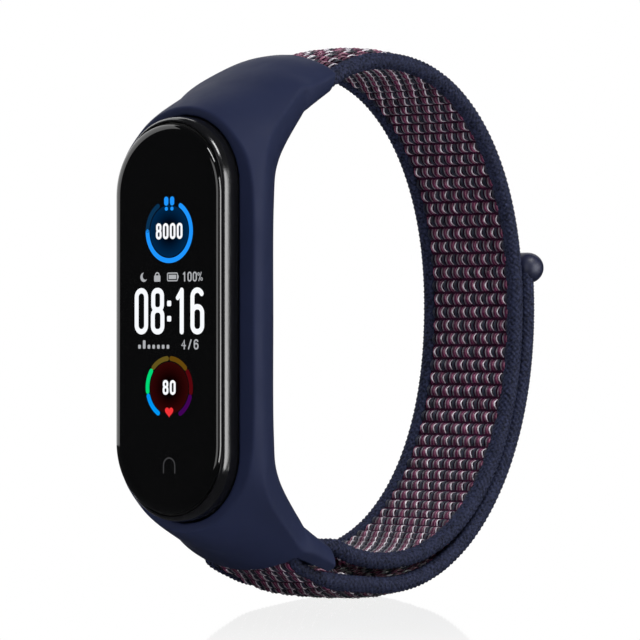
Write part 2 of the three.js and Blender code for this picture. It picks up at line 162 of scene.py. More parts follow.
def make_studio():
    make_lights()
    make_world()
    bpy.ops.mesh.primitive_plane_add(size=FLOOR_SIZE, location=(0, 0, 0))
    floor = bpy.context.object
    floor.name = "floor"
    floor.data.materials.append(floor_material())
    floor.visible_glossy = False
    bpy.context.scene.view_settings.view_transform = "Standard"


def make_world():
    """White where the camera looks and straight behind the object, dim grey elsewhere."""
    world = bpy.data.worlds.new("studio")
    bpy.context.scene.world = world
    world.use_nodes = True
    nodes, link = world.node_tree.nodes, world.node_tree.links.new
    seen = nodes.new("ShaderNodeBackground")
    seen.inputs["Color"].default_value = (1, 1, 1, 1)
    fill = nodes["Background"]
    fill.inputs["Color"].default_value = (0.9, 0.93, 1.0, 1)
    fill.inputs["Strength"].default_value = FILL_STRENGTH
    direction = nodes.new("ShaderNodeTexCoord")
    facing = nodes.new("ShaderNodeVectorMath")
    facing.operation = "DOT_PRODUCT"
    facing.inputs[1].default_value = (
        -math.sin(CAMERA_AZIMUTH), math.cos(CAMERA_AZIMUTH), 0)
    backdrop = nodes.new("ShaderNodeMath")
    backdrop.operation = "GREATER_THAN"
    backdrop.inputs[1].default_value = math.cos(BACKDROP_SPREAD)
    rays = nodes.new("ShaderNodeLightPath")
    either = nodes.new("ShaderNodeMath")
    either.operation = "MAXIMUM"
    mix = nodes.new("ShaderNodeMixShader")
    link(direction.outputs["Generated"], facing.inputs[0])
    link(facing.outputs["Value"], backdrop.inputs[0])
    link(rays.outputs["Is Camera Ray"], either.inputs[0])
    link(backdrop.outputs[0], either.inputs[1])
    link(either.outputs[0], mix.inputs["Fac"])
    link(fill.outputs[0], mix.inputs[1])
    link(seen.outputs[0], mix.inputs[2])
    link(mix.outputs[0], nodes["World Output"].inputs["Surface"])


# ------------ materials

class Nodes:
    """A principled material with helpers for its procedural detail."""

    def __init__(self, name, color, roughness, **sockets):
        self.material = bpy.data.materials.new(name)
        self.material.use_nodes = True
        self.tree = self.material.node_tree
        self.shader = self.tree.nodes["Principled BSDF"]
        self.shader.inputs["Base Color"].default_value = (*color, 1)
        self.shader.inputs["Roughness"].default_value = roughness
        for key, value in sockets.items():
            self.shader.inputs[key.replace("_", " ")].default_value = value
        self.coordinates = self.add("ShaderNodeTexCoord").outputs["Object"]

    def add(self, kind):
        return self.tree.nodes.new(kind)

    def link(self, a, b):
        self.tree.links.new(a, b)

    def noise(self, size_mm, detail=3.0, stretch=(1, 1, 1)):
        """Noise with features of about that size."""
        mapping = self.add("ShaderNodeMapping")
        mapping.inputs["Scale"].default_value = stretch
        texture = self.add("ShaderNodeTexNoise")
        texture.inputs["Scale"].default_value = 1000 / size_mm
        texture.inputs["Detail"].default_value = detail
        self.link(self.coordinates, mapping.inputs["Vector"])
        self.link(mapping.outputs["Vector"], texture.inputs["Vector"])
        return texture.outputs["Fac"]

    def vary_color(self, fac, low, high, start=0.3, end=0.7):
        ramp = self.add("ShaderNodeValToRGB")
        ramp.color_ramp.elements[0].position = start
        ramp.color_ramp.elements[1].position = end
        ramp.color_ramp.elements[0].color = (*low, 1)
        ramp.color_ramp.elements[1].color = (*high, 1)
        self.link(fac, ramp.inputs["Fac"])
        self.link(ramp.outputs["Color"], self.shader.inputs["Base Color"])

    def span(self, value, source, target, smooth=False):
        """A value moved from one range to another."""
        node = self.add("ShaderNodeMapRange")
        node.interpolation_type = "SMOOTHSTEP" if smooth else "LINEAR"
        for end, a, b in zip(("Min", "Max"), source, target):
            node.inputs[f"From {end}"].default_value = a
            node.inputs[f"To {end}"].default_value = b
        self.link(value, node.inputs["Value"])
        return node.outputs["Result"]

    def length(self, vector):
        node = self.add("ShaderNodeVectorMath")
        node.operation = "LENGTH"
        self.link(vector, node.inputs[0])
        return node.outputs["Value"]

    def mix(self, fac, first, second):
        """Shader between two others."""
        node = self.add("ShaderNodeMixShader")
        for output, socket in zip((fac, first, second), node.inputs):
            self.link(output, socket)
        return node.outputs[0]

    def vary_roughness(self, fac, low, high):
        self.link(self.span(fac, (0.3, 0.7), (low, high)), self.shader.inputs["Roughness"])

    def bump(self, fac, strength, depth_mm):
        node = self.add("ShaderNodeBump")
        node.inputs["Strength"].default_value = strength
        node.inputs["Distance"].default_value = depth_mm / 1000
        self.link(fac, node.inputs["Height"])
        self.link(node.outputs["Normal"], self.shader.inputs["Normal"])


def floor_material():
    """Seen as plain white with a faint mirror round the object."""
    mat = Nodes("pale_floor", (0.9, 0.9, 0.92), 0.9, Specular_IOR_Level=0.0)
    seen = mat.add("ShaderNodeEmission")
    mirror = mat.add("ShaderNodeBsdfGlossy")
    mirror.inputs["Color"].default_value = (1, 1, 1, 1)
    mirror.inputs["Roughness"].default_value = 0.04
    fade = mat.span(mat.length(mat.coordinates), FLOOR_MIRROR_FADE, (FLOOR_MIRROR, 0), True)
    wet = mat.mix(fade, seen.outputs[0], mirror.outputs[0])
    seen_by_camera = mat.add("ShaderNodeLightPath").outputs["Is Camera Ray"]
    surface = mat.mix(seen_by_camera, mat.shader.outputs[0], wet)
    mat.link(surface, mat.tree.nodes["Material Output"].inputs["Surface"])
    return mat.material


def silicone_material():
    mat = Nodes("navy_silicone", (0.0157, 0.021, 0.056), 0.6, Specular_IOR_Level=0.08)
    mat.vary_color(mat.noise(9), (0.015, 0.0205, 0.053), (0.0178, 0.024, 0.062))
    mat.vary_roughness(mat.noise(3), 0.55, 0.65)
    mat.bump(mat.noise(0.12, 2), 0.25, 0.008)
    return mat.material


def yarn_material(name, low, high, roughness, specular, grain_mm=1.1, coat=0.0):
    mat = Nodes(name, high, roughness, Specular_IOR_Level=specular, Coat_Weight=coat,
                Coat_Roughness=0.2)
    mat.vary_color(mat.noise(grain_mm), low, high)
    mat.bump(mat.noise(0.08, 2, (4, 1, 1)), 0.6, 0.03)
    return mat.material


def gloss_material(name, color, roughness):
    mat = Nodes(name, color, roughness)
    mat.vary_roughness(mat.noise(5), roughness * 0.85, roughness * 1.15)
    return mat.material


def metal_material(name, color, roughness):
    mat = Nodes(name, color, roughness, Metallic=1.0)
    mat.vary_roughness(mat.noise(0.4, 2, (1, 8, 1)), roughness * 0.8, roughness * 1.3)
    return mat.material


def plastic_material(name, color, roughness, grain_mm=0.1, specular=0.5):
    mat = Nodes(name, color, roughness, Specular_IOR_Level=specular)
    mat.vary_roughness(mat.noise(2), roughness * 0.9, roughness * 1.1)
    mat.bump(mat.noise(grain_mm, 2), 0.2, 0.006)
    return mat.material


def light_material(name, color):
    mat = Nodes(name, (0, 0, 0), 0.5, Specular_IOR_Level=0.0, Emission_Strength=1.0)
    mat.shader.inputs["Emission Color"].default_value = (*color, 1)
    return mat.material


# ------------ meshes

def new_object(name, points, faces, materials, body, material_of_face=None, smooth=True):
    """Mesh in drawing millimetres, riding on a body."""
    mesh = bpy.data.meshes.new(name)
    mesh.from_pydata(place(points).tolist(), [], [list(map(int, f)) for f in faces])
    for material in materials if isinstance(materials, (list, tuple)) else [materials]:
        mesh.materials.append(material)
    if material_of_face is not None:
        mesh.polygons.foreach_set("material_index", np.asarray(material_of_face, np.int32))
    mesh.polygons.foreach_set("use_smooth", np.full(len(mesh.polygons), smooth))
    mesh.update()
    obj = bpy.data.objects.new(name, mesh)
    bpy.context.scene.collection.objects.link(obj)
    if body:
        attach(obj, body)
    return obj


def ring_faces(rings, count):
    """Quads between rings of points, and the two end caps."""
    i, j = np.meshgrid(np.arange(rings - 1) * count, np.arange(count), indexing="ij")
    beside = (j + 1) % count
    quads = np.stack([i + j, i + beside, i + count + beside, i + count + j], -1)
    faces = quads.reshape(-1, 4).tolist()
    faces.append(list(range(count - 1, -1, -1)))
    faces.append(list(range((rings - 1) * count, rings * count)))
    return faces


def loft_data(rings):
    rings = np.asarray(rings, float)
    faces = ring_faces(rings.shape[0], rings.shape[1])
    points = rings.reshape(-1, 3)
    if signed_volume(points, faces) < 0:
        faces = [face[::-1] for face in faces]
    return points, faces


def signed_volume(points, faces):
    total = 0.0
    for face in faces:
        corner = points[face[0]]
        for a, b in zip(face[1:-1], face[2:]):
            total += np.dot(corner, np.cross(points[a], points[b]))
    return total


def loft(name, rings, material, body):
    points, faces = loft_data(rings)
    return new_object(name, points, faces, material, body)


def sharpen(obj, degrees):
    """Smooth shading with edges kept sharp above that angle."""
    bm = bmesh.new()
    bm.from_mesh(obj.data)
    for edge in bm.edges:
        edge.smooth = len(edge.link_faces) == 2 and edge.calc_face_angle() < math.radians(degrees)
    bm.to_mesh(obj.data)
    bm.free()


def boolean(obj, rings, operation="DIFFERENCE"):
    """Cuts obj with the solid through the rings, or joins the two."""
    points, faces = loft_data(rings)
    other = new_object("helper", points, faces, [], None)
    modifier = obj.modifiers.new("cut", "BOOLEAN")
    modifier.operation = operation
    modifier.solver = "EXACT"
    modifier.object = other
    apply_modifiers(obj)
    bpy.data.objects.remove(other)


def apply_modifiers(obj):
    depsgraph = bpy.context.evaluated_depsgraph_get()
    mesh = bpy.data.meshes.new_from_object(obj.evaluated_get(depsgraph), depsgraph=depsgraph)
    obj.modifiers.clear()
    old, obj.data = obj.data, mesh
    bpy.data.meshes.remove(old)


def turns(count):
    """Angles that divide a full turn evenly."""
    return np.linspace(0, 2 * math.pi, count, endpoint=False)


def circle(turn):
    """Points of a unit circle at the given angles."""
    return np.stack([np.cos(turn), np.sin(turn)], -1)


def stadium(radius, straight, steps):
    """Outline with two straight sides along z and round ends, in [x, z]."""
    top = radius * circle(np.linspace(0, math.pi, steps + 1)) + [0, straight]
    return np.concatenate([top, -top])


def at_depth(outline, depth):
    """Ring at a depth behind the glass, from its outline in [x, z]."""
    return np.insert(outline, 1, SCREEN_Y + depth, axis=1)


def stack_rings(levels, straight, z=0.0, steps=40):
    """Stadium rings from front to back: levels are [depth behind the glass, radius]."""
    return [at_depth(stadium(radius, straight, steps) + [0, z], depth)
            for depth, radius in levels]


def prism_rings(outline, half_width):
    """Both ends of a prism across the strap, from its side view in [y, z]."""
    return [np.insert(outline, 0, x, axis=1) for x in (-half_width, half_width)]


def heading(a, b):
    """Unit vector from a towards b."""
    return (b - a) / np.linalg.norm(b - a)


def fillet_profile(points, radius, steps):
    """Polyline of [a, b] points with its inner corners rounded."""
    points = [np.array(p, float) for p in points]
    result = [points[0]]
    for before, corner, after in zip(points, points[1:], points[2:]):
        room = min(radius, np.linalg.norm(before - corner) / 2, np.linalg.norm(after - corner) / 2)
        start = corner + heading(corner, before) * room
        end = corner + heading(corner, after) * room
        for t in np.linspace(0, 1, steps):
            result.append((1 - t) ** 2 * start + 2 * t * (1 - t) * corner + t ** 2 * end)
    result.append(points[-1])
    return result


# ------------ strap routes

def loop_point(loop, degrees):
    """Point in [y, z] on a loop: 0 degrees is at the back of the wrist and 90 on top."""
    angle = np.radians(degrees)

    def bend(value):
        return np.sign(value) * np.abs(value) ** (2 / loop["power"])

    y = loop["across"] * bend(np.cos(angle))
    z = loop["high"] * bend(np.sin(angle))
    c, s = math.cos(LOOP_TILT), math.sin(LOOP_TILT)
    return np.stack([y * c - z * s + LOOP_CENTRE[0], y * s + z * c + LOOP_CENTRE[1]], -1)


def loop_route(loop, start, end, steps):
    return loop_point(loop, np.linspace(start, end, steps + 1))


def bridge(before, after, steps):
    """Smooth run between two routes, without its two end points."""
    start, end = before[-1], after[0]
    reach = np.linalg.norm(end - start) / 3
    handle_a = start + heading(before[-2], start) * reach
    handle_b = end - heading(end, after[1]) * reach
    t = np.linspace(0, 1, steps + 1)[1:-1, None]
    return ((1 - t) ** 3 * start + 3 * t * (1 - t) ** 2 * handle_a
            + 3 * t ** 2 * (1 - t) * handle_b + t ** 3 * end)


LUG_DIRECTION = circle(LUG_ANGLE)
BAR_MIDDLE = np.array([-9.7, -26.4])
BAR_REACH = 0.9  # half the distance between the bar's two round edges
FOLD_MIDDLE = BAR_MIDDLE - BAR_REACH * LUG_DIRECTION
FOLD_RADIUS = BAR_THICKNESS / 2 + 0.9  # of the strap's middle line round the bar
PIN_PLACE = np.array([-11.2, 25.0])


def fold_route():
    angles = LUG_ANGLE + math.pi / 2 + np.linspace(0, math.pi, 25)
    return FOLD_MIDDLE + FOLD_RADIUS * circle(angles)


class Route:
    """The strap's middle line, read by length along it."""

    def __init__(self, points):
        self.points = points
        steps = np.linalg.norm(np.diff(points, axis=0), axis=1)
        self.lengths = np.concatenate([[0], np.cumsum(steps)])
        tangents = np.gradient(points, self.lengths, axis=0)
        tangents /= np.linalg.norm(tangents, axis=1)[:, None]
        self.left = np.stack([-tangents[:, 1], tangents[:, 0]], 1)
        self.length = self.lengths[-1]

    def at(self, s):
        s = np.clip(s, 0, self.length)
        point = np.stack([np.interp(s, self.lengths, self.points[:, k]) for k in (0, 1)], -1)
        left = np.stack([np.interp(s, self.lengths, self.left[:, k]) for k in (0, 1)], -1)
        return point, left

    def where(self, point):
        """Length along the route of its point nearest to this one."""
        return self.lengths[np.argmin(np.linalg.norm(self.points - point, axis=1))]

    def surface(self, s, x, h):
        """Points at length s, across x and h to the left of the middle line."""
        point, left = self.at(s)
        spot = point + left * np.asarray(h)[..., None]
        return np.stack([np.broadcast_to(x, spot.shape[:-1]), spot[..., 0], spot[..., 1]], -1)


def whole_route():
    hem = np.stack([PIN_PLACE, PIN_PLACE + heading(np.zeros(2), np.array([1, 0.1]))])
    loop = loop_route(INNER_LOOP, LOOP_START, LOOP_END, 240)
    fold = fold_route()
    tail = loop_route(TAIL_LOOP, TAIL_START, TAIL_END, 120)
    return Route(np.concatenate([
        hem, bridge(hem, loop, 24), loop, bridge(loop, fold, 24), fold,
        bridge(fold, tail, 30), tail]))


ROUTE = whole_route()
FOLD_AT = ROUTE.where(fold_route()[12])
COVERED_FROM = ROUTE.where(loop_point(INNER_LOOP, 18))
TAIL_AT = ROUTE.where(loop_point(TAIL_LOOP, TAIL_START))
SPLIT_AT = ROUTE.where(loop_point(TAIL_LOOP, (PEEL_ANGLE + TIP_ANGLE) / 2))


def smoothstep(value, low, high):
    t = np.clip((value - low) / (high - low), 0, 1)
    return t * t * (3 - 2 * t)


SQUEEZE_FADE = (2.2, 6.5)  # from the pin or the fold


def squeeze(s):
    """1 where the strap is squeezed in a lug, 0 a few millimetres away from it."""
    point, _ = ROUTE.at(s)
    spots = [PIN_PLACE, fold_route()[0], fold_route()[-1], FOLD_MIDDLE]
    nearest = np.min([np.linalg.norm(point - spot, axis=-1) for spot in spots], axis=0)
    return 1 - smoothstep(nearest, *SQUEEZE_FADE)


def crown(x, middle, edge):
    """Height across the strap, from the middle line to the edge beside a cord."""
    return edge + (middle - edge) * np.clip(1 - (np.abs(x) / WEAVE_HALF_WIDTH) ** 2.6, 0, 1)


# Heights above the middle line, in the cloth's middle and at its edges.
WRIST_SIDE, CROWNED, COVERED, PRESSED = (0.5, 0.45), (1.4, 0.55), (0.6, 0.45), (0.45, 0.4)
NAP = (0.9, 0.72)  # added by the loose yarns just behind the bottom lug


def rise(s, x, side):
    """Height of the cloth on its wrist side (-1) or outer side (+1) of the main loop.

    The wrist side becomes the tail's outside after the fold.
    """
    in_tail = smoothstep(s, FOLD_AT - 1, FOLD_AT + 1)
    covered = smoothstep(s, COVERED_FROM - 3, COVERED_FROM + 3)
    if side < 0:
        free = crown(x, *WRIST_SIDE) * (1 - in_tail) + crown(x, *CROWNED) * in_tail
    else:
        main = crown(x, *CROWNED) * (1 - covered) + crown(x, *COVERED) * covered
        free = main * (1 - in_tail) + crown(x, *PRESSED) * in_tail
        nap = smoothstep(s, FOLD_AT + 2, FOLD_AT + 5) - smoothstep(s, FOLD_AT + 8, FOLD_AT + 14)
        free = free + crown(x, *NAP) * nap
    pressed = squeeze(s)
    return free * (1 - pressed) + crown(x, *PRESSED) * pressed


# ------------ strap pieces

def make_ground(name, start, end, material):
    """The dark ground cloth under the yarns."""
    stations = np.arange(start, end + 0.3, 0.4)
    stations[-1] = end
    across = np.linspace(-WEAVE_HALF_WIDTH, WEAVE_HALF_WIDTH, 17)
    rings = []
    for s in stations:
        here = np.full(len(across), s)
        under = ROUTE.surface(here, across, -rise(s, across, -1))
        over = ROUTE.surface(here, across[::-1], rise(s, across[::-1], 1))
        rings.append(np.concatenate([under, over]))
    return loft(name, rings, material, None)


def braid(u, v):
    """Relief of a two-way braid, 0 to 1, where a strand is one unit wide."""
    a, b = u + v, u - v
    over = (np.floor(a) + np.floor(b)) % 2 == 0
    across = np.where(over, b % 1, a % 1)
    length = np.where(over, a % 1, b % 1)
    return np.sqrt(np.sin(math.pi * across)) * (0.55 + 0.45 * np.sin(math.pi * length))


CORD_SIDES = 48
CORD_STRANDS = 8
CORD_STEP = 0.12
CORD_SINK = 0.16  # of the gaps between strands below the cord's radius
CORD_RELIEF = 0.26  # height of a strand over those gaps
HEM_LENGTH = 1.4  # the cords stop short of the strap's end by this much


def make_cord(name, x, start, end, material):
    """Braided cord along one edge of the strap."""
    stations = np.linspace(start, end, int((end - start) / CORD_STEP) + 1)
    turn = turns(CORD_SIDES)
    s, angle = np.meshgrid(stations, turn, indexing="ij")
    radius = CORD_RADIUS + (CORD_RADIUS_FOLDED - CORD_RADIUS) * squeeze(s)
    strand = 2 * math.pi * CORD_RADIUS / CORD_STRANDS
    relief = braid(angle / (2 * math.pi) * CORD_STRANDS, s / strand)
    radius = radius - CORD_SINK + CORD_RELIEF * relief
    rings = ROUTE.surface(s, x + radius * np.cos(angle), radius * np.sin(angle))
    return loft(name, rings, material, None)


STRAND_STEPS = 6
STRAND_SIDES = 5


class Strands:
    """Many short yarns lying on one face of the strap, gathered into one mesh."""

    def __init__(self, side):
        self.side = side
        self.rows = []

    def add(self, *yarn):
        """Takes a yarn's middle s and x, length, half width, bow, slant, lift and material."""
        self.rows.append(yarn)

    def build(self, name, start, end, materials):
        rows = np.array([r for r in self.rows if start <= r[0] < end])
        s0, x0, length, width, bow, slant, lift = (rows[:, k, None, None] for k in range(7))
        t = np.linspace(0, 1, STRAND_STEPS + 1)[None, :, None]
        turn = turns(STRAND_SIDES)[None, None, :]
        arch = np.sin(math.pi * t)
        girth = width * (0.55 + 0.45 * np.sqrt(arch))
        x_line = np.clip(x0 + bow * arch + slant * (t - 0.5), -WEAVE_HALF_WIDTH, WEAVE_HALF_WIDTH)
        s = s0 + length * (t - 0.5) + 0 * turn
        x = x_line + girth * np.cos(turn)
        base = rise(s, x_line + 0 * turn, self.side)
        bulge = lift * (1 - 0.6 * squeeze(s)) * (1.25 * arch - 0.6)
        h = self.side * (base + bulge + 0.6 * girth * np.sin(turn))
        points = ROUTE.surface(s, x, h).reshape(-1, 3)
        per_strand = (STRAND_STEPS + 1) * STRAND_SIDES
        pattern = ring_faces(STRAND_STEPS + 1, STRAND_SIDES)
        if self.side > 0:
            pattern = [face[::-1] for face in pattern]
        faces, index = [], []
        for k in range(len(rows)):
            faces.extend([[v + k * per_strand for v in face] for face in pattern])
            index.extend([int(rows[k, 7])] * len(pattern))
        return new_object(name, points, faces, materials, None, index)


WHITE, GREY, MAROON, PINK, SLATE = range(5)

# Yarns of one loop, left to right: place across, half width, bow, lift and colour.
LOOP_YARNS = (
    (-0.55, 0.11, -0.2, 0.6, WHITE), (-0.26, 0.2, -0.1, 0.38, SLATE),
    (0.06, 0.08, 0.14, 0.54, GREY), (0.34, 0.17, 0.02, 0.42, MAROON),
    (0.6, 0.08, 0.06, 0.52, PINK), (0.84, 0.17, -0.03, 0.4, MAROON),
)


def looped_face():
    """Wrist side: staggered rows of loops, each a pale yarn beside darker ones."""
    strands = Strands(-1)
    for row in range(int(ROUTE.length / ROW_PITCH) + 1):
        s = (row + 0.5) * ROW_PITCH
        shift = 0.5 * CELL_PITCH * (row % 2)
        for cell in range(-4, 5):
            x = cell * CELL_PITCH + shift
            for offset, width, bow, lift, tone in LOOP_YARNS:
                spot = x + offset + rng.uniform(-0.03, 0.03)
                if not 0.35 - WEAVE_HALF_WIDTH < spot < WEAVE_HALF_WIDTH - 0.1:
                    continue
                strands.add(
                    s + rng.uniform(-0.05, 0.05), spot, ROW_PITCH * 1.1,
                    width * rng.uniform(0.88, 1.1), bow, 0.12, lift * rng.uniform(0.85, 1.1),
                    tone)
    return strands


def twisted_face():
    """Outer side: slanting yarns, two rows of which cross like a twill."""
    strands = Strands(1)
    tones = (MAROON, WHITE, SLATE, MAROON, PINK)
    pitch = 0.62
    for row in range(int(ROUTE.length / (ROW_PITCH * 0.75)) + 1):
        s = (row + 0.5) * ROW_PITCH * 0.75
        for k in range(-9, 10):
            x = (k + 0.5 * (row % 2)) * pitch
            if abs(x) > WEAVE_HALF_WIDTH - 0.15:
                continue
            tone = tones[(k + 2 * row) % len(tones)]
            strands.add(
                s + rng.uniform(-0.06, 0.06), x, ROW_PITCH * 1.15,
                0.2 * rng.uniform(0.85, 1.15), 0.0, 0.75, 0.42 * rng.uniform(0.8, 1.15), tone)
    return strands


BEND_SPREAD = 5  # degrees along the loop on each side of a bend


def bend_tail(pieces, before, after, angle):
    """Bakes each piece's place into its mesh."""
    for degrees in (angle - BEND_SPREAD, angle + BEND_SPREAD):
        y, z = loop_point(TAIL_LOOP, degrees)
    for piece in pieces:
        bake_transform(piece)


PEEL_BEND = ("band", "tail", PEEL_ANGLE)
TIP_BEND = ("tail", "tail_end", TIP_ANGLE)

# The main loop and the tail's two parts: name, CAD nodes, start, end and bend.
STRAP_RUNS = (
    ("strap", "strap", 0, TAIL_AT, None),
    ("tail", "tail", TAIL_AT, SPLIT_AT, PEEL_BEND),
    ("tail_end", "tail_tip", SPLIT_AT, ROUTE.length, TIP_BEND),
)


def make_strap(materials):
    """Cloth, cords and yarns of each run."""
    looped, twisted = looped_face(), twisted_face()
    for run, node, start, end, bend in STRAP_RUNS:
        cloth = make_ground(f"{run}_cloth", start, end, materials["ground"])
        cords = [
            make_cord(f"{run}_edge_cord_{side}", x, max(start, HEM_LENGTH), end, materials["cord"])
            for side, x in (("right", CORD_X), ("left", -CORD_X))]
        faces = [face.build(f"{run}_{kind}_face", start, end, materials["yarns"])
                 for kind, face in (("looped", looped), ("twisted", twisted))]
        pieces = [cloth, *cords, *faces]
        if bend:
            bend_tail(pieces, *bend)
        else:
            for piece in pieces:
                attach(piece, "band")
        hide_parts(f"{node}_band")
        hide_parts(f"{node}_edge_cord_right")
        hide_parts(f"{node}_edge_cord_left")


HOOK_TAPE = (0.56, 0.855)  # the tape's two sides above the strap's middle line
HOOK_FOOT = 0.82
HOOK_PITCH = 0.7
HOOK_SIDES = 5
# Height along a hook, its radius and its lean.
HOOK_RINGS = ((0.0, 0.07, 0.0), (0.14, 0.06, 0.03), (0.2, 0.1, 0.08), (0.23, 0.05, 0.14))


def hook_rings(s, x):
    """One hook standing on the tape at length s, across x."""
    turn = turns(HOOK_SIDES)
    return [
        ROUTE.surface(s + lean + radius * np.cos(turn), x + radius * np.sin(turn),
                      np.full(HOOK_SIDES, HOOK_FOOT + height))
        for height, radius, lean in HOOK_RINGS]


def make_hook_tape(name, node, s_from, s_to, bend, material):
    """Hook tape under a part of the tail, with its rows of small hooks."""
    half = WEAVE_HALF_WIDTH - 0.7
    across = np.array([-half, half, half, -half])
    under, over = HOOK_TAPE
    height = np.array([over, over, under, under])
    tape = [ROUTE.surface(np.full(4, s), across, height) for s in np.linspace(s_from, s_to, 30)]
    points, faces = loft_data(tape)
    points, faces, count = [points], [faces], len(points)
    stub = ring_faces(len(HOOK_RINGS), HOOK_SIDES)
    for row, s in enumerate(np.arange(s_from + 0.4, s_to - 0.2, HOOK_PITCH)):
        for x in np.arange(-half + 0.4 + HOOK_PITCH / 2 * (row % 2), half - 0.3, HOOK_PITCH):
            points.append(np.concatenate(hook_rings(s, x)))
            faces.append([[v + count for v in face] for face in stub])
            count += HOOK_SIDES * len(HOOK_RINGS)
    obj = new_object(name, np.concatenate(points), sum(faces, []), material, None)
    bend_tail([obj], *bend)
    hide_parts(node)


def make_hooks(material):
    start = ROUTE.where(loop_point(TAIL_LOOP, PEEL_ANGLE + 1))
    end = ROUTE.where(loop_point(TAIL_LOOP, TAIL_END - 4))
    make_hook_tape("hook_tape_lower", "tail_hook_strip", start, SPLIT_AT, PEEL_BEND, material)
    make_hook_tape("hook_tape_upper", "tail_tip_hook_strip", SPLIT_AT, end, TIP_BEND, material)


TAB_ROUND_FROM = 0.76  # share of the bar's half length where its round end starts


def make_end_tab(material):
    """Round bar with domed ends, as long and thick as its CAD node."""
    low, high = (np.array(corner) * 1000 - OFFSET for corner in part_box("end_tab"))
    centre, size = (low + high) / 2, (high - low) / 2
    rings = []
    for t in np.sin(np.linspace(-math.pi / 2, math.pi / 2, 41)):
        inset = max(0.0, (abs(t) - TAB_ROUND_FROM) / (1 - TAB_ROUND_FROM))
        full = max(0.02, math.sqrt(max(0.0, 1 - inset ** 2)))
        outline = centre[1:] + size[1:] * full * circle(turns(48))
        rings.append(np.insert(outline, 0, centre[0] + size[0] * t, axis=1))
    tab = loft("end_bar", rings, material, "tail_end")
    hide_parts("end_tab")


# ------------ carrier case

# Ribs of the top half from mid-height to the lug's tip: crest and wrist are [y, z] points of the
# outer and wrist sides, then half width, flank height, wrist-side chamfer and crown exponent.
CASE_RIBS = (
    ((-26.4, 0), (-17.7, 0), 10.4, 4.3, 2.4, 1.0),
    ((-26.4, 16.3), (-17.7, 12.0), 10.4, 4.3, 2.4, 1.0),
    ((-24.8, 22.0), (-16.5, 17.2), 9.8, 4.3, 2.0, 1.9),
    ((-16.7, 26.2), (-12.3, 22.2), 8.8, 3.2, 1.3, 1.9),
    ((-10.8, 29.1), (-11.5, 23.2), 8.8, 2.7, 0.9, 1.7),
    ((-7.3, 29.9), (-7.7, 25.4), 8.8, 2.0, 0.8, 1.8),
)


def smooth_curve(values, samples):
    """Catmull-Rom curve through values at 0, 1, 2..., read at the sample places."""
    values = np.asarray(values, float)
    padded = np.concatenate([
        [2 * values[0] - values[1]], values, [2 * values[-1] - values[-2]]])
    i = np.clip(samples.astype(int), 0, len(values) - 2)
    t = samples - i
    a, b, c, d = (padded[i + k] for k in range(4))
    return 0.5 * (2 * b + (c - a) * t + (2 * a - 5 * b + 4 * c - d) * t ** 2
                  + (3 * b - a - 3 * c + d) * t ** 3)


def case_rings(stations=140):
    """Outlines round the case from the bottom lug's tip to the top lug's."""
    rows = []
    for mirror, ribs in ((-1, CASE_RIBS[::-1]), (1, CASE_RIBS[1:])):
        for crest, wrist, *shape in ribs:
            rows.append((crest[0], mirror * crest[1], wrist[0], mirror * wrist[1], *shape))
    samples = np.linspace(0, len(rows) - 1, stations)
    columns = [smooth_curve(column, samples) for column in zip(*rows)]
    rings = []
    for cy, cz, wy, wz, half, side, chamfer, power in zip(*columns):
        height = math.hypot(cy - wy, cz - wz)
        quarter = np.linspace(0, math.pi / 2, 13)
        corner = np.stack([
            half - chamfer + chamfer * np.sin(quarter) ** 1.4,
            side * (1 - np.cos(quarter) ** 1.4)], 1)
        arc = np.linspace(0, math.pi / 2, 25)[1:]
        top = np.stack([
            half * np.cos(arc), side + (height - side) * np.sin(arc) ** power], 1)
        right = np.concatenate([corner, top])
        left = right[:-1][::-1] * [-1, 1]
        outline = np.concatenate([right, left])
        along = outline[:, 1] / height
        rings.append(np.stack([
            outline[:, 0], wy + (cy - wy) * along, wz + (cz - wz) * along], 1))
    return rings


SHELL_LEVELS = (
    (0.95, 7.4), (1.25, 7.64), (2, 7.8), (3, CAPSULE_RADIUS), (5.5, CAPSULE_RADIUS),
    (6.8, 7.6), (8.1, 7.1), (9.4, 6.3), (10.8, 5.3), (CAPSULE_DEPTH, 4.3),
)
LIP_RADIUS = 7.2  # opening in the shell's front
VOXEL = 0.16  # of the case's remesh
POCKET_CLEARANCE = 0.12
RECESS_CLEARANCE = 0.32  # over the strap in the top lug
RECESS_LENGTH = 9.5  # along the strap
HEM_ROOM = 1.5  # radius of the hollow round the pin


def strap_room(start, end):
    """Solid over a stretch of the strap and down past its wrist side, to cut the case with."""
    rings = []
    for s in np.linspace(start, end, 30):
        out = float(rise(np.array(s), 0.0, 1)) + RECESS_CLEARANCE
        rings.append(ROUTE.surface(
            np.full(4, s), SLOT_HALF_WIDTH * np.array([-1, 1, 1, -1]), np.array([-6, -6, out, out])))
    return rings


def crossbar_outline():
    """The bottom lug's bar from the side: flat, with round edges."""
    outline = []
    for end, side in ((BAR_REACH, 0), (-BAR_REACH, math.pi)):
        turn = LUG_ANGLE + side + np.linspace(-math.pi / 2, math.pi / 2, 12)
        outline.extend(BAR_MIDDLE + end * LUG_DIRECTION + BAR_THICKNESS / 2 * circle(turn))
    return outline


# Slot through the bottom lug, seen from the side as [y, z].
SLOT_OUTLINE = ((-11.9, -21), (-12.7, -25.06), (-13.5, -28.8), (-13.9, -32), (-4, -34), (-4, -21))


def cut_pocket(case):
    """Hollows the case for the capsule and cuts its front off at the rim."""
    pocket = [(-3, CAPSULE_RADIUS + POCKET_CLEARANCE)]
    pocket += [(depth, radius + POCKET_CLEARANCE) for depth, radius in SHELL_LEVELS[2:]]
    pocket.append((15, 3))
    boolean(case, stack_rings(pocket, CAPSULE_STRAIGHT))
    front = [(-40, -40), (CASE_RIM_Y, -40), (CASE_RIM_Y, 40), (-40, 40)]
    boolean(case, prism_rings(front, 20))


